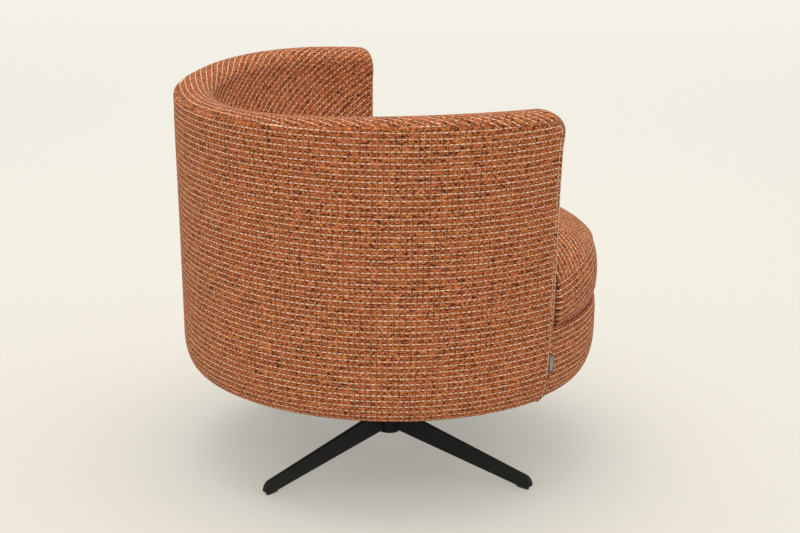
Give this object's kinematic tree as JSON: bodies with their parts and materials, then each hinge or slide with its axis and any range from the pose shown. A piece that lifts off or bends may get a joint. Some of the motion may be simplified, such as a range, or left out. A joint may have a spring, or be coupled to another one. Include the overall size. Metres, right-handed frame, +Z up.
{
  "type": "swivel rocker chair",
  "caption": "Round upholstered tub chair with a loose crowned cushion; it turns on a column and rocks on a pivot hidden under the seat, above a flat-bar star base.",
  "frame": {"origin": "on the floor, on the column's axis", "axes": "+Z up; the seat's front faces -Y; +X points to the sitter's left"},
  "size_m": [0.74, 0.729, 0.662],
  "materials": {
    "woven_cloth": "coarse rust weave with rows of pale dashes",
    "foam": "open-cell foam",
    "felt": "needled felt",
    "webbing": "woven elastic strap",
    "black_cloth": "thin non-woven cloth",
    "tab_cloth": "fine grey tape",
    "plywood": "raw birch plywood",
    "timber": "sawn softwood",
    "black_steel": "satin powder coat",
    "plain_steel": "turned",
    "buffer_rubber": "matte",
    "nylon": "moulded"
  },
  "bodies": {
    "base": {"leg_1": "black_steel", "glide_1": "nylon", "leg_2": "black_steel", "glide_2": "nylon", "leg_3": "black_steel", "glide_3": "nylon", "leg_4": "black_steel", "glide_4": "nylon", "hub_column": "black_steel", "column_cap": "nylon", "column_bushes": "nylon"},
    "swivel": {"spindle": "plain_steel", "swivel_bracket": "black_steel", "rocker_axle": "plain_steel", "retaining_clips": "plain_steel", "rocker_buffer_front": "buffer_rubber", "rocker_buffer_rear": "buffer_rubber"},
    "seat": {"upper_bracket": "black_steel", "pivot_bushes": "nylon", "plank_bolts": "plain_steel", "plate_nuts": "plain_steel", "bottom_board": "plywood", "lower_blocks": "timber", "seat_plank": "plywood", "upper_blocks": "timber", "seat_posts": "timber", "seat_ring": "plywood", "webbing_long": "webbing", "webbing_cross": "webbing", "platform_felt": "felt", "platform_cover": "black_cloth", "dust_cover": "black_cloth", "outer_cover": "woven_cloth", "inner_cover": "woven_cloth", "back_foam": "foam", "back_shell": "plywood", "apron_cover": "woven_cloth", "apron_board": "plywood", "cushion_core": "foam", "cushion_boxing": "woven_cloth", "cushion_top_panel": "woven_cloth", "seam_tab": "tab_cloth"}
  },
  "joints": [
    {"name": "swivel", "type": "hinge", "parent": "base", "child": "swivel", "pos_m": [0, 0, 0], "axis": [0, 0, 1], "continuous": true},
    {"name": "rock", "type": "hinge", "parent": "swivel", "child": "seat", "pos_m": [0, 0, 0.19], "axis": [-1, 0, 0], "range_deg": [-5, 10], "stiffness_Nm_per_rad": 450, "deforming": ["rocker_buffer_front", "rocker_buffer_rear"]}
  ]
}
